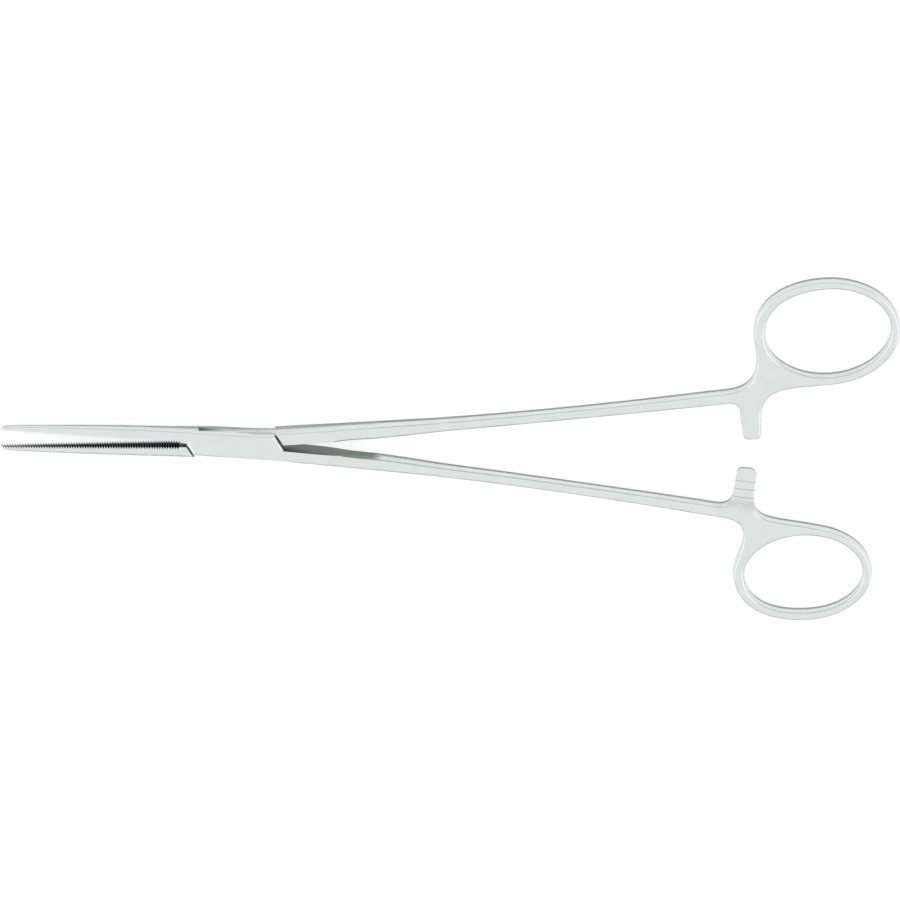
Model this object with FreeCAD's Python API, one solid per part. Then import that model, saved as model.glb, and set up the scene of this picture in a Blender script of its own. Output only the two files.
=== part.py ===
import FreeCAD, Part
import math
import os

from FreeCAD import Vector

# Mosquito forceps: two forged halves joined at a box lock, with ratchet bars and finger rings.
# Millimetres. The pivot axis is Z through the origin, the rings lie towards +X and the jaws
# towards -X. The lock rests on z = 0. Each half is first drawn closed, with its shank on the
# +Y side of the X axis, its jaw on the -Y side and the middle of its steel on z = 0.

# Opening between the two halves as modelled, and the running clearances of the lock
open_angle = 3.9
slot_side_clearance = 0.05
slot_end_clearance = 0.10
pin_clearance = 0.04

# Box lock. Every sloping end in it makes the same angle with Y. The ends of the plates and
# of the slot between them are given by their distance from the pivot.
lock_thickness = 5.0
lock_half_height = 3.0
lock_end_angle = 31.7
plate_end_jaw = 10.0
plate_end_shank = 9.25
slot_end = 9.35
tenon_thickness = 1.7
pin_radius = 1.2
plate_bevel = 0.42
shoulder_bevel = 0.15

# Jaws
jaw_length = 55.2
jaw_root = 6.5
nose_length = 2.4
nose_height = 1.41
nose_fall = 0.18
nose_half_width = 0.66
nose_section_height = 1.24
nose_section_thickness = 0.60
face_gap_tip = 0.02
face_gap_heel = 0.10
heel_flat = 1.39
tooth_pitch = 0.6
tooth_depth = 0.62
tooth_land = 0.08

# Shank: where it meets the handle, and the flat on its inner side next to the lock
shank_end_x = 107.0
shank_end_height = 10.05
shank_end_half_height = 1.505
shank_end_slope = 6.6
flat_start_height = 0.42
flat_bow_height = 1.05
flat_run_out = 0.08
flat_end_x = 35.0

# Handle: ring, web and ratchet bar. A reach says how far a blend runs straight on from its
# end before it turns. Its sides bulge like an oval of this width and depth, cut off by the
# two faces, and the edges between sides and faces are rounded.
handle_thickness = 3.5
side_oval_width = 0.9
side_oval_depth = 2.25
handle_round = 0.7
ring_band = 2.3
ring_band_ends = 2.55
neck_start = 7.5
neck_start_reach = 6.5
web_start_reach = 8.6
bar_straight = 5.2
bar_tip_round = 1.5

# Ratchet: distances along the bar from its tip, heights from the middle of the steel
first_crest = 3.2
crest_pitch = 2.1
crest_count = 3
crest_height = 0.25
valley_depth = 0.35
locking_face_lean = 0.12
run_out = 2.9
bar_crown = 0.7

# Long enough for a cut to pass right through a half
beyond = 30.0

# Sections of a half from the nose to the handle. Each has its place along X, the height of
# its middle, its half height, its half thickness, how far its sides bulge, the radius of its
# corners and its slope. Along the middle of its sides runs a very narrow flat.
grinding = 0.03
side_flat = 0.045
lock_half = lock_thickness / 2 + grinding
lock_bulge = 0.2
lock_round = 0.6
jaw_root_thickness = lock_half - 0.08
jaw_root_height = lock_half_height + 0.08
lock_sections = [
    (0.0, 0.0, lock_half_height + 0.14, lock_half, lock_bulge, lock_round, 0.0),
    (6.0, 0.0, lock_half_height + 0.24, lock_half, lock_bulge, lock_round, 0.0),
    (9.0, 0.0, lock_half_height + 0.30, lock_half, lock_bulge, lock_round, 0.0),
    (12.0, 0.47, lock_half_height, lock_half, lock_bulge, lock_round, 0.0),
]

# Taper of the jaw: place from its root to the nose, the shares that it keeps of what the root
# is higher and thicker than the nose, and its bulge and corner radius as shares of its half
# thickness
jaw_taper = [
    (1.0082, 0.0, 0.0, 0.17, 0.75),
    (0.850, 0.227, 0.151, 0.17, 0.62),
    (0.698, 0.437, 0.292, 0.17, 0.62),
    (0.544, 0.630, 0.411, 0.17, 0.60),
    (0.3285, 0.834, 0.557, 0.15, 0.55),
    (0.1396, 0.942, 0.741, 0.11, 0.40),
    (0.0, 1.0, 1.0, 0.08, 0.25),
]
jaw_sections = []
for place, height, thickness, bulge, roundness in jaw_taper:
    half_thickness = nose_section_thickness + thickness * (jaw_root_thickness - nose_section_thickness)
    jaw_sections.append((
        -jaw_root - place * (jaw_length - jaw_root),
        0.0,
        nose_section_height + height * (jaw_root_height - nose_section_height),
        half_thickness,
        bulge * half_thickness,
        roundness * half_thickness,
        0.0,
    ))

# Run of the shank: place and rise as shares from the lock to the handle, half height as a
# multiple of that at the handle, the share that it keeps of what the lock is thicker than the
# handle, its bulge and corner radius as shares of its half thickness, and its slope. Its last
# section is the rim of the handle itself.
shank_root = lock_sections[-1][0]
shank_run = [
    (0.0632, 0.1632, 1.446, 0.910, 0.10, 0.26, 0.0),
    (0.1263, 0.2490, 1.130, 0.731, 0.13, 0.29, 2.0),
    (0.2211, 0.3065, 1.109, 0.538, 0.15, 0.33, 4.2),
    (0.3474, 0.4000, 0.948, 0.295, 0.17, 0.37, 4.6),
    (0.5053, 0.5244, 0.887, 0.064, 0.19, 0.40, 5.0),
    (0.6737, 0.6716, 0.876, -0.038, 0.19, 0.40, 5.6),
    (0.8421, 0.8338, 0.917, -0.026, 0.19, 0.40, 6.1),
    (0.9263, 0.9204, 0.958, -0.013, 0.19, 0.40, 6.4),
]
shank_sections = []
for place, rise, height, thickness, bulge, roundness, slope in shank_run:
    half_thickness = handle_thickness / 2 + thickness * (lock_half - handle_thickness / 2)
    shank_sections.append((
        shank_root + place * (shank_end_x - shank_root),
        rise * shank_end_height,
        height * shank_end_half_height,
        half_thickness,
        bulge * half_thickness,
        roundness * half_thickness,
        slope,
    ))

# The two handles differ in the size and place of their rings and bars. Ahead and rise are
# counted from the end of the shank, the height of a bar's tip from the X axis. A ring and
# its hole are ovals of four quarters, counterclockwise from the +X end. The fullness of a
# quarter is 0.707 for a true ellipse and more for a squarer one. The neck leaves the ring on
# its third quarter and the web on its fourth, each at a share of the way along it. The side of
# the bar in the crotch flares towards its root, and the crotch ends at a distance from the tip.
upper_handle = {
    "ring_ahead": 30.85,
    "ring_rise": 17.5,
    "hole_shift": 0.3,
    "hole_half_length": 14.6,
    "hole_half_height": 11.15,
    "ring_tilt": 4.5,
    "hole_tilt": 6.6,
    "ring_fullness": (0.707, 0.82, 0.707, 0.707),
    "hole_fullness": (0.707, 0.90, 0.68, 0.707),
    "neck_place": 0.05,
    "neck_reach": 8.5,
    "web_place": 0.025,
    "web_reach": 11.0,
    "bar_ahead": 13.4,
    "bar_tip_height": 0.15,
    "bar_half_width": 2.3,
    "bar_lean": 0.0,
    "bar_flare": 0.56,
    "crotch_start": 7.5,
    "crotch_start_reach": 1.9,
    "crotch_end": 6.7,
    "crotch_end_reach": 2.0,
}
lower_handle = {
    "ring_ahead": 27.3,
    "ring_rise": 15.85,
    "hole_shift": 0.2,
    "hole_half_length": 13.8,
    "hole_half_height": 9.95,
    "ring_tilt": -4.5,
    "hole_tilt": -5.7,
    "ring_fullness": (0.707, 0.84, 0.707, 0.707),
    "hole_fullness": (0.79, 0.92, 0.68, 0.707),
    "neck_place": 0.19,
    "neck_reach": 7.0,
    "web_place": 0.21,
    "web_reach": 12.5,
    "bar_ahead": 12.6,
    "bar_tip_height": -0.1,
    "bar_half_width": 2.4,
    "bar_lean": 4.0,
    "bar_flare": 0.0,
    "crotch_start": 5.6,
    "crotch_start_reach": 3.0,
    "crotch_end": 5.4,
    "crotch_end_reach": 2.9,
}


def unit(angle):
    a = math.radians(angle)
    return Vector(math.cos(a), math.sin(a), 0)


def line(start, end):
    return Part.LineSegment(start, end).toShape()


def arc(start, through, end):
    return Part.Arc(start, through, end).toShape()


def bezier(*poles):
    curve = Part.BezierCurve()
    curve.setPoles(list(poles))
    return curve.toShape()


def plate(edges, z_low, z_high):
    # A flat outline drawn at z = 0, made solid between two heights
    solid = Part.Face(Part.Wire(edges)).extrude(Vector(0, 0, z_high - z_low))
    solid.translate(Vector(0, 0, z_low))
    return solid


def bar_through(points, along):
    # A polygon made solid along one axis, from -beyond to +beyond
    solid = Part.Face(Part.makePolygon(points + points[:1])).extrude(along * 2 * beyond)
    solid.translate(along * -beyond)
    return solid


def bow(hub, start, end):
    # The short way round a hub
    through = ((start + end) / 2 - hub).normalize() * (start - hub).Length
    return arc(start, hub + through, end)


def section(x, middle, half_height, half_thickness, bulge, radius, slope):
    # Across the half, square to a line of the given slope: flat faces, bulging sides and
    # round corners, each corner touching its face and its side
    centre = Vector(x, middle, 0)
    up = unit(slope + 90)
    out = Vector(0, 0, 1)
    side_radius = (half_thickness ** 2 + bulge ** 2) / (2 * bulge)
    hub_out = half_thickness - radius
    hub_reach = math.sqrt((side_radius - radius) ** 2 - hub_out ** 2)
    hub_up = half_height - side_radius + hub_reach
    flat_up = half_height - side_radius + math.sqrt(side_radius ** 2 - side_flat ** 2)
    edges = []
    end = None
    for side_up, side_out in [(1, 1), (1, -1), (-1, -1), (-1, 1), (1, 1)]:
        hub = centre + up * side_up * hub_up + out * side_out * hub_out
        to_face = out * side_out
        to_side = (up * side_up * hub_reach + to_face * hub_out).normalize()
        face = hub + to_face * radius
        side = hub + to_side * radius
        start, stop = (face, side) if side_up == side_out else (side, face)
        if end is not None and side_up == side_out:
            edges.append(line(end, start))
        elif end is not None:
            side_hub = centre + up * side_up * (half_height - side_radius)
            flat_end = centre + up * side_up * flat_up + to_face * side_flat
            flat_start = flat_end - to_face * 2 * side_flat
            edges += [bow(side_hub, end, flat_start), line(flat_start, flat_end)]
            edges.append(bow(side_hub, flat_end, start))
        if len(edges) < 12:
            edges.append(bow(hub, start, stop))
        end = stop
    return Part.Wire(edges)


def forged_bar(rim):
    # Jaw, lock and shank as one smooth bar, before the face, the lock and the flat are cut
    sections = [section(*s) for s in jaw_sections + lock_sections + shank_sections]
    return Part.makeLoft(sections + [rim], True)


def end_x(distance, y):
    # Where the sloping end of the lock on the +X side crosses a height
    a = math.radians(lock_end_angle)
    return (distance + y * math.sin(a)) / math.cos(a)


def underside(x):
    # The height of the shank's inner side at a place between two of its sections
    for near, far in zip(shank_sections, shank_sections[1:]):
        if near[0] <= x <= far[0]:
            low, high = near[1] - near[2], far[1] - far[2]
            return low + (high - low) * (x - near[0]) / (far[0] - near[0])


def half_outline(jaw_end, shank_end):
    # What one half may fill, seen from the front: below the gripping face, across the lock
    # between its sloping ends, and above the flat on the inner side of the shank
    grip_tip = Vector(-jaw_length, -face_gap_tip, 0)
    grip_heel = Vector(-end_x(jaw_end, face_gap_heel), -face_gap_heel, 0)
    crotch = Vector(end_x(shank_end, flat_start_height), flat_start_height, 0)
    flat_end = Vector(flat_end_x, underside(flat_end_x) - flat_run_out, 0)
    flat_bow = Vector((crotch.x + flat_end.x) / 2, flat_bow_height, 0)
    nose = Vector(-jaw_length + nose_length, -nose_height, 0)
    nose_corner = Vector(-jaw_length, nose_fall - nose_height, 0)
    far = shank_end_x + beyond
    shank_side = [
        grip_tip, grip_heel, Vector(-end_x(jaw_end, -beyond), beyond, 0), Vector(far, beyond, 0),
        Vector(far, 0, 0), Vector(flat_end_x, 0, 0), flat_end,
    ]
    jaw_side = [crotch, Vector(end_x(shank_end, -beyond), -beyond, 0), Vector(nose.x, -beyond, 0), nose]
    return (Part.makePolygon(shank_side).Edges + [bezier(flat_end, flat_bow, crotch)]
            + Part.makePolygon(jaw_side).Edges + [bezier(nose, nose_corner, grip_tip)])


def nose_plan():
    # What the nose may fill, seen from above: narrowing to a rounded end
    start = Vector(-jaw_length + nose_length, 0, 0)
    width = Vector(0, nose_half_width, 0)
    corner = Vector(-jaw_length, 0, 0)
    wide = Vector(0, beyond, 0)
    far = Vector(shank_end_x + beyond, 0, 0)
    back = [start + width, start + wide, far + wide, far - wide, start - wide, start - width]
    region = plate(
        Part.makePolygon(back).Edges
        + [bezier(start - width, corner - width, corner), bezier(corner, corner + width, start + width)],
        -beyond, beyond)
    region.rotate(Vector(), Vector(1, 0, 0), 90)
    return region


def blank(jaw_end, shank_end, rim):
    # The half with its lock still solid, its two lock faces ground flat
    region = plate(half_outline(jaw_end, shank_end), -lock_thickness / 2, lock_thickness / 2)
    return forged_bar(rim).common(region).common(nose_plan())


def lock_band(jaw_end, shank_end, z_low, z_high):
    # The band through the lock between the two sloping walls that face the other half
    box = Part.makeBox(jaw_end + shank_end, 2 * beyond, z_high - z_low, Vector(-jaw_end, -beyond, z_low))
    box.rotate(Vector(), Vector(0, 0, 1), lock_end_angle)
    return box


def bevels(angle, distance, towards, size, end):
    # Wedges that take the sharp front and back edges off the sloping end at this angle.
    # The steel lies inside the end where towards is -1 and outside it where towards is 1.
    wedges = []
    for face in (1, -1):
        height = lock_thickness / 2
        corners = [
            (distance + towards * 2 * size, height + size),
            (distance - towards * size, height - 2 * size),
            (distance - towards * size, height + size),
        ]
        points = [Vector(x, 0, face * z) for x, z in corners]
        wedge = Part.Face(Part.makePolygon(points + points[:1])).extrude(Vector(0, beyond + end, 0))
        wedge.translate(Vector(0, -beyond, 0))
        wedge.rotate(Vector(), Vector(0, 0, 1), angle)
        wedges.append(wedge)
    return wedges


def box_lock(half):
    # Two plates with the slot for the tenon between them, and bevelled plate ends. Beyond the
    # gripping face the slot is open at its jaw end, where the other jaw's root swings in.
    slot_half = tenon_thickness / 2 + slot_side_clearance
    cuts = [
        lock_band(slot_end, slot_end, -slot_half, slot_half),
        Part.makeBox(beyond, beyond, 2 * slot_half, Vector(-beyond, 0, -slot_half)),
    ]
    a = math.radians(lock_end_angle)
    ends = (
        (180 - lock_end_angle, plate_end_jaw, face_gap_heel),
        (-lock_end_angle, plate_end_shank, flat_start_height),
    )
    for angle, distance, height in ends:
        reach = end_x(distance, height) * math.sin(a) + height * math.cos(a)
        cuts += bevels(angle, distance, -1, plate_bevel, reach)
    bore = Part.makeCylinder(pin_radius, 2 * beyond, Vector(0, 0, -beyond))
    return half.cut(cuts + [bore])


def tenon_lock(half):
    # The tenon between two pockets, with a bevel along each shoulder
    jaw_end = plate_end_jaw + slot_end_clearance
    shank_end = plate_end_shank + slot_end_clearance
    cuts = [
        lock_band(jaw_end, shank_end, tenon_thickness / 2, beyond),
        lock_band(jaw_end, shank_end, -beyond, -tenon_thickness / 2),
    ]
    cuts += bevels(lock_end_angle, shank_end, 1, shoulder_bevel, beyond)
    cuts += bevels(180 + lock_end_angle, jaw_end, 1, shoulder_bevel, beyond)
    bore = Part.makeCylinder(pin_radius + pin_clearance, 2 * beyond, Vector(0, 0, -beyond))
    return half.cut(cuts + [bore])


def serrations(phase):
    # A comb of grooves across the gripping face, the whole length of the comb as one cut
    heel = end_x(plate_end_jaw, face_gap_heel)
    grip_fall = (face_gap_heel - face_gap_tip) / (jaw_length - heel)
    comb_end = heel + heel_flat
    count = int((jaw_length - comb_end) / tooth_pitch)
    half_groove = (tooth_pitch - tooth_land) / 2
    points = [Vector(-comb_end, 1, 0)]
    for i in range(count):
        middle = -comb_end - (i + 0.5 + phase) * tooth_pitch
        for x, depth in ((middle + half_groove, 0), (middle, tooth_depth), (middle - half_groove, 0)):
            face = -face_gap_tip - grip_fall * (x + jaw_length)
            points.append(Vector(x, face - depth, 0))
    points.append(Vector(points[-1].x, 1, 0))
    return bar_through(points, Vector(0, 0, 1))


def ring_centre(handle):
    return Vector(shank_end_x + handle["ring_ahead"], shank_end_height + handle["ring_rise"], 0)


def bar_tip(handle):
    return Vector(shank_end_x + handle["bar_ahead"], handle["bar_tip_height"], 0)


def oval(centre, tilt, half_length, half_height, fullness):
    # Four quarter curves, counterclockwise from the +X end
    halves = (half_length, half_height)
    quarters = []
    for turn, weight in enumerate(fullness):
        start = unit(tilt + 90 * turn) * halves[turn % 2]
        end = unit(tilt + 90 * (turn + 1)) * halves[(turn + 1) % 2]
        quarter = Part.BezierCurve()
        quarter.setPoles([centre + start, centre + start + end, centre + end])
        quarter.setWeight(2, weight)
        quarters.append(quarter)
    return quarters


def ring(handle):
    return oval(
        ring_centre(handle), handle["ring_tilt"], handle["hole_half_length"] + ring_band_ends,
        handle["hole_half_height"] + ring_band, handle["ring_fullness"])


def hole(handle):
    # The finger hole, a little off the middle of the ring
    centre = ring_centre(handle) + unit(handle["hole_tilt"]) * handle["hole_shift"]
    return oval(
        centre, handle["hole_tilt"], handle["hole_half_length"], handle["hole_half_height"],
        handle["hole_fullness"])


def handle_outline(handle):
    # Counterclockwise from the web: ring, neck, end of the shank, crotch, bar and back
    along = unit(shank_end_slope)
    up = unit(shank_end_slope + 90)
    shank_end = Vector(shank_end_x, shank_end_height, 0)
    top = shank_end + up * shank_end_half_height
    under = shank_end - up * shank_end_half_height
    neck_low = top + along * neck_start
    crotch_low = under + along * handle["crotch_start"]

    right_end, left_end, neck_side, web_side = ring(handle)
    web_side.segment(handle["web_place"], 1)
    neck_side.segment(0, handle["neck_place"])
    web_end = web_side.value(0)
    neck_end = neck_side.value(1)
    web_way = Vector(*web_side.tangent(0)[0])
    neck_way = Vector(*neck_side.tangent(1)[0])

    tip = bar_tip(handle)
    across = unit(handle["bar_lean"])
    root = unit(handle["bar_lean"] + 90)
    left = tip - across * handle["bar_half_width"]
    right = tip + across * handle["bar_half_width"]
    r = bar_tip_round
    bend = r * (1 - math.sqrt(0.5))
    left_root = left - across * handle["bar_flare"] + root * handle["crotch_end"]
    right_root = right + root * bar_straight
    flare_reach = root * handle["crotch_end"] / 3
    return [quarter.toShape() for quarter in (web_side, right_end, left_end, neck_side)] + [
        bezier(neck_end, neck_end + neck_way * handle["neck_reach"],
               neck_low + along * neck_start_reach, neck_low),
        line(neck_low, top),
        line(top, under),
        line(under, crotch_low),
        bezier(crotch_low, crotch_low + along * handle["crotch_start_reach"],
               left_root + root * handle["crotch_end_reach"], left_root),
        bezier(left_root, left_root - flare_reach, left + root * r + flare_reach, left + root * r),
        arc(left + root * r, left + (root + across) * bend, left + across * r),
        line(left + across * r, right - across * r),
        arc(right - across * r, right + (root - across) * bend, right + root * r),
        line(right + root * r, right_root),
        bezier(right_root, right_root + root * web_start_reach,
               web_end - web_way * handle["web_reach"], web_end),
    ]


def at_joint(edge):
    # Whether an edge lies where the shank joins the handle
    joint = Vector(shank_end_x, shank_end_height, 0)
    return all(abs((v.Point - joint).dot(unit(shank_end_slope))) < 1e-4 for v in edge.Vertexes)


def round_edges(solid, half, radius):
    # Rounds every edge of the handle's two faces, apart from where the shank joins it
    flat = [e for e in solid.Edges if all(abs(abs(v.Z) - half) < 1e-4 for v in e.Vertexes)]
    return solid.makeFillet(radius, [e for e in flat if not at_joint(e)])


def rounded_handle(handle):
    # The sides get their bulge from a thinner plate with round edges, stretched until the
    # edges are half ovals, and the two faces are cut from it. The rounding leaves a little
    # of the ring's thinnest wall flat.
    rim = [quarter.toShape() for quarter in hole(handle)]
    wall = Part.Wire(rim).distToShape(Part.Wire([quarter.toShape() for quarter in ring(handle)]))[0]
    width = min(side_oval_width, 0.49 * wall)
    thin = 1.02 * width
    solid = plate(handle_outline(handle), -thin, thin).cut(plate(rim, -thin, thin))
    stretch = FreeCAD.Matrix()
    stretch.A33 = side_oval_depth / width
    solid = round_edges(solid, thin, width).transformGeometry(stretch)
    half = handle_thickness / 2
    slab = Part.makeBox(2 * shank_end_x, 2 * shank_end_x, handle_thickness, Vector(0, -shank_end_x, -half))
    return round_edges(solid.common(slab), half, min(handle_round, 0.4 * wall))


def ratchet_cut(handle, open_side):
    # What is taken from one side of the bar: the teeth, their run-out into the web and the
    # rounding along the bar. The open side is the front where open_side is 1.
    tip = bar_tip(handle)
    w = handle["bar_half_width"]
    r = bar_crown
    face = handle_thickness / 2
    rise = handle_thickness
    root = first_crest + crest_pitch * (crest_count - 1) + locking_face_lean
    profile = [(root + run_out, face + r / 8), (root + run_out, rise), (-r, rise), (-r, -valley_depth)]
    profile.append((0, -valley_depth))
    for i in range(crest_count):
        crest = first_crest + i * crest_pitch
        profile += [(crest, crest_height), (crest + locking_face_lean, -valley_depth)]
    points = [Vector(-2 * w, y, z) for y, z in profile]
    bottom = points[-1] + Vector(0, run_out / 3, 0)
    shoulder = points[0] - Vector(0, run_out / 3, 0)
    outline = Part.makePolygon(points).Edges + [bezier(points[-1], bottom, shoulder, points[0])]
    teeth = Part.Face(Part.Wire(outline)).extrude(Vector(4 * w, 0, 0))

    low = crest_height - r
    bend = r * (1 - math.sqrt(0.5))
    crown = [Vector(-2 * w, 0, rise), Vector(-2 * w, 0, low), Vector(-w, 0, low)]
    crown_end = [Vector(w, 0, low), Vector(2 * w, 0, low), Vector(2 * w, 0, rise), crown[0]]
    edges = Part.makePolygon(crown).Edges + [
        arc(Vector(-w, 0, low), Vector(-w + bend, 0, crest_height - bend), Vector(-w + r, 0, crest_height)),
        line(Vector(-w + r, 0, crest_height), Vector(w - r, 0, crest_height)),
        arc(Vector(w - r, 0, crest_height), Vector(w - bend, 0, crest_height - bend), Vector(w, 0, low)),
    ] + Part.makePolygon(crown_end).Edges
    rounding = Part.Face(Part.Wire(edges)).extrude(Vector(0, root, 0))

    cut = teeth.fuse(rounding)
    cut.rotate(Vector(), Vector(0, 0, 1), handle["bar_lean"])
    cut.translate(tip)
    return cut if open_side > 0 else cut.mirror(Vector(), Vector(0, 0, 1))


def half(lock, jaw_end, shank_end, handle, open_side, phase):
    # One forging, closed, with its shank on the +Y side
    rear = rounded_handle(handle)
    rim = Part.Wire(Part.sortEdges([e for e in rear.Edges if at_joint(e)])[0])
    front = lock(blank(jaw_end, shank_end, rim)).cut(serrations(phase))
    return front.fuse(rear.cut(ratchet_cut(handle, open_side))).removeSplitter()


def as_modelled(shape, turn):
    # From the closed drawing to where the piece rests, with its lock on z = 0
    shape = shape.copy()
    shape.rotate(Vector(), Vector(0, 0, 1), turn)
    shape.translate(Vector(0, 0, lock_thickness / 2))
    return shape


def box_half():
    # The half with the box: upper jaw, lower shank, lower ring, ratchet bar behind
    closed = half(box_lock, plate_end_jaw, plate_end_shank, lower_handle, 1, 0)
    return as_modelled(closed.mirror(Vector(), Vector(0, 1, 0)), -open_angle / 2)


def tenon_half():
    # The half that passes through the box: lower jaw, upper shank, upper ring, bar in front
    end = slot_end - slot_end_clearance
    closed = half(tenon_lock, end, end, upper_handle, -1, 0.5)
    return as_modelled(closed, open_angle / 2)


def box_pin():
    # The pin is riveted in both plates and ground flush with them
    pin = Part.makeCylinder(pin_radius, lock_thickness, Vector(0, 0, -lock_thickness / 2))
    return as_modelled(pin, 0)


os.makedirs("parts", exist_ok=True)
for name, piece in (("box_half", box_half()), ("tenon_half", tenon_half()), ("box_pin", box_pin())):
    piece.exportStep("parts/" + name + ".step")
    print(name, piece.isValid(), len(piece.Solids), round(piece.Volume, 2), piece.BoundBox)
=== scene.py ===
import math

import bpy
from mathutils import Matrix, Vector

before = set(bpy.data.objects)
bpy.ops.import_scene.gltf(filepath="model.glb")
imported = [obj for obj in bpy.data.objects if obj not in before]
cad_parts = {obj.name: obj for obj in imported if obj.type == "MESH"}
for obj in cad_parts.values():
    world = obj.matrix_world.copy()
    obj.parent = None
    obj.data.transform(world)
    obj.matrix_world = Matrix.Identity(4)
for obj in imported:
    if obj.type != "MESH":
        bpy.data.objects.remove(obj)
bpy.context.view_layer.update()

scene = bpy.context.scene
scene.view_settings.view_transform = "Standard"

MM = 0.001

# View of the photograph
PHOTO_PIXEL = 0.23385 * MM
PHOTO_SIDE = 900 * PHOTO_PIXEL
VIEW_TILT = math.radians(26)
VIEW_TURN = math.radians(1.4)
VIEW_CENTRE = Vector((49.81, -1.90, 2.5)) * MM
LENS = 600.0
SENSOR = 36.0

# Surfaces of the stage
FLOOR_HALF = 3.0
FLOOR_HEIGHT = -0.02 * MM
FLOOR_SEEN = 0.72
FLOOR_MIRRORED = 0.66

# Light of the dome, as a share of white: overhead, at the horizon, and low on the -Y side
DOME_ABOVE = 0.97
DOME_HORIZON = 0.55
DOME_DIMMEST = 0.25

# Softboxes on both sides: their places from the middle of the object, and their size
SOFTBOX_OUT = 0.90
SOFTBOX_ASIDE = -0.05
SOFTBOX_HEIGHT = 0.50
SOFTBOX_WIDTH = 1.3
SOFTBOX_TALL = 0.50
SOFTBOX_BRIGHTNESS = 0.62

# Scratches of the finishing belt per metre, along and across the object
SCRATCHES_ALONG = 160.0
SCRATCHES_ACROSS = 6500.0

# Colours of the steel: its two cloudy tones, the faces that are cut or ground, and painted light:
# painted shade on the flat, the jaw teeth, the gaps, the slot and the ratchet crests, and a painted
# highlight on the bevels beside the gaps
DARKER_SATIN = (0.73, 0.775, 0.76, 1)
LIGHTER_SATIN = (0.77, 0.815, 0.80, 1)
# The ground flat beside the lock, darkened with painted shade between the shanks
GROUND_FLAT_PAINTED_SHADE = (0.27, 0.33, 0.30, 1)
# Painted shade on the cut jaw teeth and heel: darkest in the valleys, lighter at the crests
TOOTH_VALLEY_PAINTED_SHADE = (0.07, 0.10, 0.11, 1)
TOOTH_CREST_PAINTED_SHADE = (0.30, 0.36, 0.36, 1)
# Painted highlight on the bevels beside the gaps at the lock
PAINTED_HIGHLIGHT_BEVEL = (0.95, 0.97, 0.96, 1)
# Painted shade in the narrow gaps at the sloping ends of the lock
PAINTED_SHADE_GAP = (0.03, 0.035, 0.035, 1)
SLOT_SHADE = (0.12, 0.14, 0.13, 1)
# Painted shade lines along the ratchet crests
RATCHET_CREST_PAINTED_SHADE = (0.36, 0.40, 0.39, 1)

# Where the cut and ground faces and the painted light and shade of each half lie, as in the part
# itself: the halves are turned from their closed places by this angle, and the gripping faces lean
# by the gap at the heel
HALF_TURN = math.radians(1.95)
JAW_TIP = -55.2 * MM
JAW_HEEL = -11.9 * MM
GAP_TIP = 0.02 * MM
GAP_HEEL = 0.10 * MM
TOOTH_DEPTH = 0.62 * MM
FLAT_START = 10.5 * MM
FLAT_END = 31.5 * MM
FLAT_FADE = 3.0 * MM
# The sloping ends of the plates and the shoulders that they face, across the middle of the
# gap between them: how far apart the two gaps lie, and how far their middle is off the pivot
END_ANGLE = math.radians(31.7)
END_HALF_SPAN = 9.675 * MM
END_SHIFT = -0.375 * MM
# From the middle of the gap: how far its masks of painted shade and painted highlight reach, and
# where the plate's bevel ends
BEVEL_REACH = 0.7 * MM
BEVEL_END = -0.16 * MM
# Slot of the lock, in which the wall of the tenon half shows, darkest at its jaw end
LOCK_MIDDLE = 2.5 * MM
SLOT_HALF = 0.9 * MM
SLOT_FADE = 2.0 * MM
SLOT_REACH = 9.5 * MM
SLOT_END = 11.1 * MM
# Ratchet, where painted shade lines lie along the crests: distances from the tip of the bar to
# its first crest and from crest to crest, how many crests show, and half of the width that they are
# drawn across
FIRST_CREST = 3.2 * MM
CREST_PITCH = 2.1 * MM
CREST_COUNT = 3
BAR_HALF_WIDTH = 2.8 * MM


def node(tree, kind, **settings):
    made = tree.nodes.new(kind)
    for name, value in settings.items():
        setattr(made, name, value)
    return made


def math_node(tree, operation, first, second=None):
    made = node(tree, "ShaderNodeMath", operation=operation)
    for socket, value in zip(made.inputs, (first, second)):
        if value is None:
            continue
        if isinstance(value, (int, float)):
            socket.default_value = value
        else:
            tree.links.new(value, socket)
    return made.outputs[0]


def new_material(name):
    material = bpy.data.materials.new(name)
    material.use_nodes = True
    tree = material.node_tree
    tree.nodes.clear()
    output = tree.nodes.new("ShaderNodeOutputMaterial")
    return material, tree, output


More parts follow.
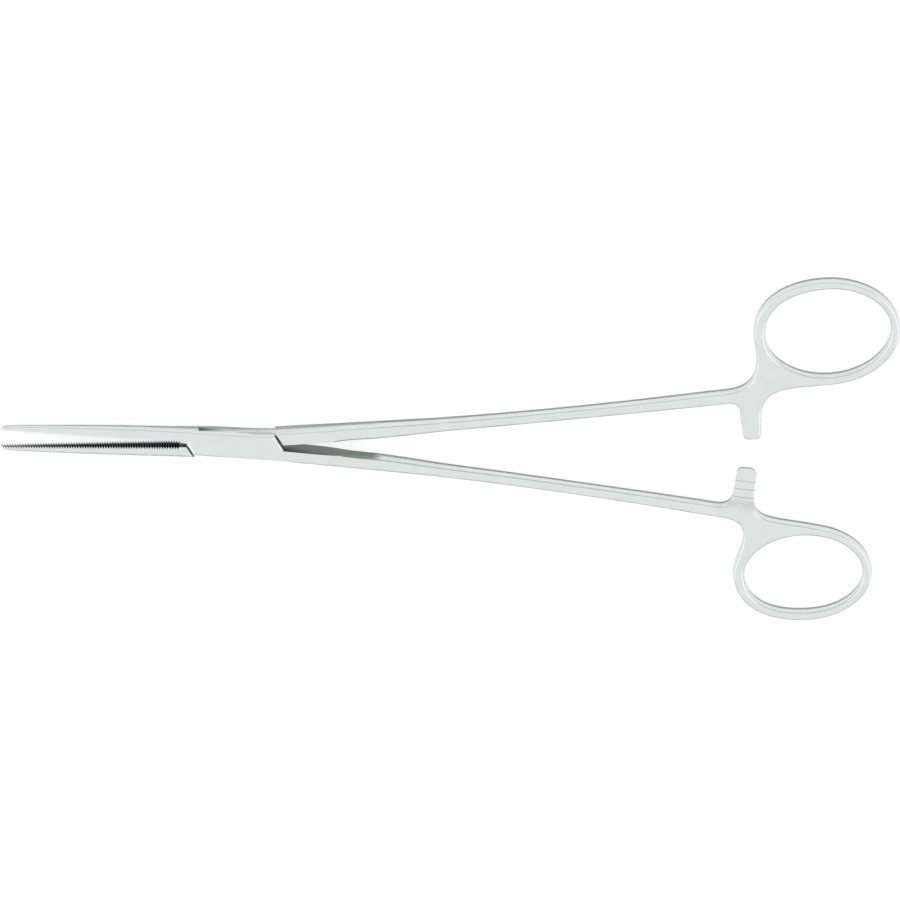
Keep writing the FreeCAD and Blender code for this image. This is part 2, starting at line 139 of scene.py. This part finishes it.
def brushed_grain():
    # Fine scratches from the finishing belt, long along X, with faint cloudy patches
    group = bpy.data.node_groups.new("brushed grain", "ShaderNodeTree")
    face = group.interface
    for name in ("Fineness", "Depth"):
        socket = face.new_socket(name, in_out="INPUT", socket_type="NodeSocketFloat")
        socket.default_value = 1.0
    face.new_socket("Scratch", in_out="OUTPUT", socket_type="NodeSocketFloat")
    face.new_socket("Cloud", in_out="OUTPUT", socket_type="NodeSocketFloat")
    face.new_socket("Normal", in_out="OUTPUT", socket_type="NodeSocketVector")
    given = group.nodes.new("NodeGroupInput")
    result = group.nodes.new("NodeGroupOutput")
    links = group.links
    place = group.nodes.new("ShaderNodeTexCoord")
    stretch = node(group, "ShaderNodeMapping")
    stretch.inputs["Scale"].default_value = (SCRATCHES_ALONG, SCRATCHES_ACROSS, SCRATCHES_ACROSS)
    links.new(place.outputs["Object"], stretch.inputs["Vector"])
    scratch = node(group, "ShaderNodeTexNoise")
    scratch.inputs["Detail"].default_value = 3.0
    scratch.inputs["Roughness"].default_value = 0.6
    links.new(stretch.outputs["Vector"], scratch.inputs["Vector"])
    links.new(given.outputs["Fineness"], scratch.inputs["Scale"])
    cloud = node(group, "ShaderNodeTexNoise")
    cloud.inputs["Scale"].default_value = 240.0
    cloud.inputs["Detail"].default_value = 3.0
    links.new(place.outputs["Object"], cloud.inputs["Vector"])
    bump = node(group, "ShaderNodeBump")
    bump.inputs["Distance"].default_value = 0.004 * MM
    links.new(given.outputs["Depth"], bump.inputs["Strength"])
    links.new(scratch.outputs["Fac"], bump.inputs["Height"])
    links.new(scratch.outputs["Fac"], result.inputs["Scratch"])
    links.new(cloud.outputs["Fac"], result.inputs["Cloud"])
    links.new(bump.outputs["Normal"], result.inputs["Normal"])
    return group


GRAIN = brushed_grain()


def smooth_step(tree, value, start, stop):
    made = node(tree, "ShaderNodeMapRange", interpolation_type="SMOOTHSTEP")
    tree.links.new(value, made.inputs["Value"])
    made.inputs["From Min"].default_value = start
    made.inputs["From Max"].default_value = stop
    return made.outputs["Result"]


def product(tree, *values):
    made = values[0]
    for value in values[1:]:
        made = math_node(tree, "MULTIPLY", made, value)
    return made


def turned_back(tree, vector, side):
    # A place or direction once the half is turned back to its closed place, with its jaw on
    # +Y: along the half, across it, up, and towards the sloping end of the lock
    parts = node(tree, "ShaderNodeSeparateXYZ")
    tree.links.new(vector, parts.inputs[0])
    x = parts.outputs[0]
    y = math_node(tree, "MULTIPLY", parts.outputs[1], side)
    c, s = math.cos(HALF_TURN), math.sin(HALF_TURN)
    along = math_node(tree, "SUBTRACT", product(tree, x, c), product(tree, y, s))
    across = math_node(tree, "ADD", product(tree, x, s), product(tree, y, c))
    towards_end = math_node(
        tree, "ADD", product(tree, along, math.cos(END_ANGLE)),
        product(tree, across, side, math.sin(END_ANGLE)))
    return along, across, parts.outputs[2], towards_end


def worked_faces_and_painted_light():
    # Masks for the faces of a half that are cut or ground, and for painted light: painted shade on
    # the jaw's teeth and heel, lighter at the crests of the teeth; the ground flat on the inner side of
    # the shank, with painted shade; painted shade in the narrow gap and a painted highlight on the
    # bevel beside it at the sloping ends of the lock; painted shade on the wall in the slot; and
    # painted shade lines along the crests of the ratchet.
    # Side is 1 for the half whose jaw is on +Y, and the tip and the lean of its bar are as it
    # lies closed.
    group = bpy.data.node_groups.new("worked faces", "ShaderNodeTree")
    face = group.interface
    for name in ("Side", "Bar Tip Along", "Bar Tip Across", "Bar Lean"):
        face.new_socket(name, in_out="INPUT", socket_type="NodeSocketFloat")
    for name in ("Grip", "Crest", "Flat", "Gap Shade", "Bevel", "Slot", "Ratchet"):
        face.new_socket(name, in_out="OUTPUT", socket_type="NodeSocketFloat")
    given = group.nodes.new("NodeGroupInput")
    result = group.nodes.new("NodeGroupOutput")
    links = group.links
    coord = group.nodes.new("ShaderNodeTexCoord")
    side = given.outputs["Side"]
    x, y, z, end = turned_back(group, coord.outputs["Object"], side)
    _, facing_y, facing_z, facing_end = turned_back(group, coord.outputs["Normal"], side)
    upright = math_node(group, "ABSOLUTE", facing_z)

    lean = (GAP_HEEL - GAP_TIP) / (JAW_HEEL - JAW_TIP)
    gap = product(group, math_node(group, "SUBTRACT", x, JAW_TIP), lean)
    depth = math_node(group, "SUBTRACT", y, gap)
    low = smooth_step(group, depth, TOOTH_DEPTH + 0.12 * MM, TOOTH_DEPTH + 0.05 * MM)
    jaw = smooth_step(group, x, JAW_HEEL + 0.5 * MM, JAW_HEEL + 0.4 * MM)
    cut = smooth_step(group, upright, 0.30, 0.15)
    links.new(product(group, low, jaw, cut), result.inputs["Grip"])
    links.new(smooth_step(group, depth, 0.14 * MM, 0.04 * MM), result.inputs["Crest"])

    inner = smooth_step(group, facing_y, 0.90, 0.97)
    start = smooth_step(group, x, FLAT_START, FLAT_START + 0.5 * MM)
    stop = smooth_step(group, x, FLAT_END + FLAT_FADE, FLAT_END)
    links.new(product(group, start, stop, inner), result.inputs["Flat"])

    # Painted shade in the narrow gap at the sloping ends of the lock
    centred = math_node(group, "ABSOLUTE", math_node(group, "SUBTRACT", end, END_SHIFT))
    beyond = math_node(group, "SUBTRACT", centred, END_HALF_SPAN)
    sloping = smooth_step(group, math_node(group, "ABSOLUTE", facing_end), 0.58, 0.66)
    near = smooth_step(group, math_node(group, "ABSOLUTE", beyond), BEVEL_REACH, BEVEL_REACH - 0.1 * MM)
    inside = smooth_step(group, beyond, BEVEL_END, BEVEL_END - 0.08 * MM)
    outside = smooth_step(group, beyond, BEVEL_END - 0.08 * MM, BEVEL_END)
    links.new(product(group, sloping, near, outside), result.inputs["Gap Shade"])
    # Painted highlight on the sloping bevel beside each gap and on a strip of the plain front face next
    # to it
    beside = product(group, math_node(group, "SIGN", x), y, side)
    beside = smooth_step(group, beside, -0.4 * MM, -0.3 * MM)
    painted_highlight_strip = product(group, near, inside, beside, smooth_step(group, upright, 0.5, 0.8))
    links.new(math_node(group, "MAXIMUM", product(group, sloping, near, inside), painted_highlight_strip),
              result.inputs["Bevel"])

    wall = smooth_step(group, facing_y, -0.8, -0.9)
    off_middle = math_node(group, "ABSOLUTE", math_node(group, "SUBTRACT", z, LOCK_MIDDLE))
    between = smooth_step(group, off_middle, SLOT_HALF + 0.1 * MM, SLOT_HALF)
    deep = smooth_step(group, x, -SLOT_FADE, -SLOT_REACH)
    within = smooth_step(group, x, -SLOT_END - 0.4 * MM, -SLOT_END)
    tenon = math_node(group, "LESS_THAN", side, -0.5)
    links.new(product(group, wall, between, deep, within, tenon), result.inputs["Slot"])

    # Painted shade lines along the crests of the ratchet teeth, on the open face of the bar
    sideways = math_node(group, "SUBTRACT", x, given.outputs["Bar Tip Along"])
    down = math_node(group, "SUBTRACT", given.outputs["Bar Tip Across"], y)
    skew = math_node(group, "MULTIPLY", sideways, given.outputs["Bar Lean"])
    run = math_node(group, "SUBTRACT", down, skew)
    past = math_node(group, "SUBTRACT", run, FIRST_CREST - CREST_PITCH / 2)
    turns = math_node(group, "DIVIDE", past, CREST_PITCH)
    off_crest = math_node(group, "SUBTRACT", math_node(group, "FRACT", turns), 0.5)
    off_crest = math_node(group, "ABSOLUTE", off_crest)
    line = smooth_step(group, off_crest, 0.085, 0.03)
    first = math_node(group, "GREATER_THAN", turns, 0)
    last = math_node(group, "LESS_THAN", turns, CREST_COUNT)
    off_centre = math_node(group, "ABSOLUTE", sideways)
    across_bar = smooth_step(group, off_centre, BAR_HALF_WIDTH + 0.1 * MM, BAR_HALF_WIDTH)
    open_face = smooth_step(group, math_node(group, "MULTIPLY", facing_z, side), 0.1, 0.3)
    links.new(product(group, line, first, last, across_bar, open_face), result.inputs["Ratchet"])
    return group


WORKED_AND_PAINTED_LIGHT = worked_faces_and_painted_light()


def blend_colour(tree, amount, below, above):
    made = node(tree, "ShaderNodeMix", data_type="RGBA")
    tree.links.new(amount, made.inputs["Factor"])
    for socket, colour in (("A", below), ("B", above)):
        place = [i for i in made.inputs if i.name == socket and i.type == "RGBA"][0]
        if isinstance(colour, tuple):
            place.default_value = colour
        else:
            tree.links.new(colour, place)
    return [o for o in made.outputs if o.type == "RGBA"][0]


def satin_steel(name, side, bar_tip=(0, 0), bar_lean=0):
    material, tree, output = new_material(name)
    steel = node(tree, "ShaderNodeBsdfPrincipled")
    steel.inputs["Metallic"].default_value = 1.0
    grain = node(tree, "ShaderNodeGroup", node_tree=GRAIN)
    grain.inputs["Fineness"].default_value = 1.0
    grain.inputs["Depth"].default_value = 0.25
    tone = node(tree, "ShaderNodeValToRGB")
    tone.color_ramp.elements[0].position = 0.3
    tone.color_ramp.elements[0].color = DARKER_SATIN
    tone.color_ramp.elements[1].position = 0.7
    tone.color_ramp.elements[1].color = LIGHTER_SATIN
    tree.links.new(grain.outputs["Cloud"], tone.inputs["Fac"])
    worked_and_painted_light = node(tree, "ShaderNodeGroup", node_tree=WORKED_AND_PAINTED_LIGHT)
    worked_and_painted_light.inputs["Side"].default_value = side
    worked_and_painted_light.inputs["Bar Tip Along"].default_value = bar_tip[0] * MM
    worked_and_painted_light.inputs["Bar Tip Across"].default_value = bar_tip[1] * MM
    worked_and_painted_light.inputs["Bar Lean"].default_value = math.tan(math.radians(bar_lean))
    # The ground flat on the inner side of the shank, darkened with painted shade between the shanks
    colour = blend_colour(tree, worked_and_painted_light.outputs["Flat"], tone.outputs["Color"], GROUND_FLAT_PAINTED_SHADE)
    # Painted shade on the cut jaw teeth and heel, darkest in the valleys and lighter at the crests
    teeth = blend_colour(tree, worked_and_painted_light.outputs["Crest"], TOOTH_VALLEY_PAINTED_SHADE, TOOTH_CREST_PAINTED_SHADE)
    # Painted light laid over the steel: painted shade on the teeth, in the gaps, in the slot and along
    # the ratchet crests, and a painted highlight on the bevels
    finishes_and_painted_light = (
        ("Grip", teeth), ("Bevel", PAINTED_HIGHLIGHT_BEVEL), ("Gap Shade", PAINTED_SHADE_GAP),
        ("Slot", SLOT_SHADE), ("Ratchet", RATCHET_CREST_PAINTED_SHADE),
    )
    for mask, overlay in finishes_and_painted_light:
        colour = blend_colour(tree, worked_and_painted_light.outputs[mask], colour, overlay)
    tree.links.new(colour, steel.inputs["Base Color"])
    rough = math_node(tree, "MULTIPLY_ADD", grain.outputs["Scratch"], 0.16)
    rough.node.inputs[2].default_value = 0.20
    tree.links.new(rough, steel.inputs["Roughness"])
    tree.links.new(grain.outputs["Normal"], steel.inputs["Normal"])
    tree.links.new(steel.outputs["BSDF"], output.inputs["Surface"])
    return material


def dress(name, material):
    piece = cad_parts[name]
    piece.data.materials.clear()
    piece.data.materials.append(material)
    for face in piece.data.polygons:
        face.material_index = 0


def white_floor():
    mesh = bpy.data.meshes.new("floor")
    h = FLOOR_HALF
    mesh.from_pydata([(-h, -h, 0), (h, -h, 0), (h, h, 0), (-h, h, 0)], [], [(0, 1, 2, 3)])
    floor = bpy.data.objects.new("floor", mesh)
    floor.location.z = FLOOR_HEIGHT
    scene.collection.objects.link(floor)
    material, tree, output = new_material("white floor")
    paper = node(tree, "ShaderNodeBsdfDiffuse")
    paper.inputs["Color"].default_value = (0.4, 0.4, 0.4, 1)
    glow = node(tree, "ShaderNodeEmission")
    ray = node(tree, "ShaderNodeLightPath")
    # Steel mirrors the white floor around it, and the shaded floor right below it
    slant = node(tree, "ShaderNodeLayerWeight")
    slant.inputs["Blend"].default_value = 0.5
    around = smooth_step(tree, slant.outputs["Facing"], 0.045, 0.15)
    through = math_node(tree, "ADD", ray.outputs["Is Transmission Ray"], ray.outputs["Is Camera Ray"])
    mirrored = product(tree, ray.outputs["Is Glossy Ray"], around)
    seen = math_node(tree, "ADD", product(tree, through, FLOOR_SEEN),
                     product(tree, mirrored, FLOOR_MIRRORED))
    tree.links.new(seen, glow.inputs["Strength"])
    both = node(tree, "ShaderNodeAddShader")
    tree.links.new(paper.outputs["BSDF"], both.inputs[0])
    tree.links.new(glow.outputs["Emission"], both.inputs[1])
    tree.links.new(both.outputs["Shader"], output.inputs["Surface"])
    mesh.materials.append(material)


def softbox(name, stand, target):
    lamp = bpy.data.lights.new(name, "AREA")
    lamp.shape = "RECTANGLE"
    lamp.size = SOFTBOX_WIDTH
    lamp.size_y = SOFTBOX_TALL
    lamp.energy = SOFTBOX_BRIGHTNESS * math.pi * SOFTBOX_WIDTH * SOFTBOX_TALL
    light = bpy.data.objects.new(name, lamp)
    light.location = stand
    light.rotation_euler = (target - stand).to_track_quat("-Z", "Y").to_euler()
    scene.collection.objects.link(light)


def studio():
    world = bpy.data.worlds.new("studio")
    world.use_nodes = True
    tree = world.node_tree
    tree.nodes.clear()
    # A white dome, dimmer towards the horizon and dimmest low on the -Y side
    sky = node(tree, "ShaderNodeBackground")
    sky.inputs["Color"].default_value = (1, 1, 1, 1)
    place = node(tree, "ShaderNodeTexCoord")
    way = node(tree, "ShaderNodeSeparateXYZ")
    tree.links.new(place.outputs["Generated"], way.inputs[0])
    overhead = smooth_step(tree, way.outputs[2], 0.05, 0.60)
    away = smooth_step(tree, way.outputs[1], -0.97, -0.70)
    horizon = math_node(tree, "MULTIPLY_ADD", away, DOME_HORIZON - DOME_DIMMEST)
    horizon.node.inputs[2].default_value = DOME_DIMMEST
    rise = product(tree, math_node(tree, "SUBTRACT", DOME_ABOVE, horizon), overhead)
    tree.links.new(math_node(tree, "ADD", horizon, rise), sky.inputs["Strength"])
    out = node(tree, "ShaderNodeOutputWorld")
    tree.links.new(sky.outputs["Background"], out.inputs["Surface"])
    scene.world = world
    middle = Vector((0.05, 0, 0))
    for name, side in (("left softbox", -1), ("right softbox", 1)):
        stand = middle + Vector((side * SOFTBOX_OUT, SOFTBOX_ASIDE, SOFTBOX_HEIGHT))
        softbox(name, stand, middle)


def camera():
    data = bpy.data.cameras.new("camera")
    data.lens = LENS
    data.sensor_width = SENSOR
    data.clip_end = 20.0
    eye = bpy.data.objects.new("camera", data)
    turn = Matrix.Rotation(VIEW_TURN, 4, "Z") @ Matrix.Rotation(-VIEW_TILT, 4, "X")
    centre = Matrix.Rotation(VIEW_TURN, 4, "Z") @ VIEW_CENTRE
    distance = PHOTO_SIDE * LENS / SENSOR
    eye.matrix_world = Matrix.Translation(centre + turn @ Vector((0, 0, distance))) @ turn
    scene.collection.objects.link(eye)
    scene.camera = eye


# The tip of each bar in millimetres and its lean in degrees are as the half lies closed
dress("box_half", satin_steel("satin steel box half", 1, bar_tip=(119.6, 0.1), bar_lean=4))
dress("tenon_half", satin_steel("satin steel tenon half", -1, bar_tip=(120.4, -0.15)))
dress("box_pin", satin_steel("satin steel pin", 0))
white_floor()
studio()
camera()
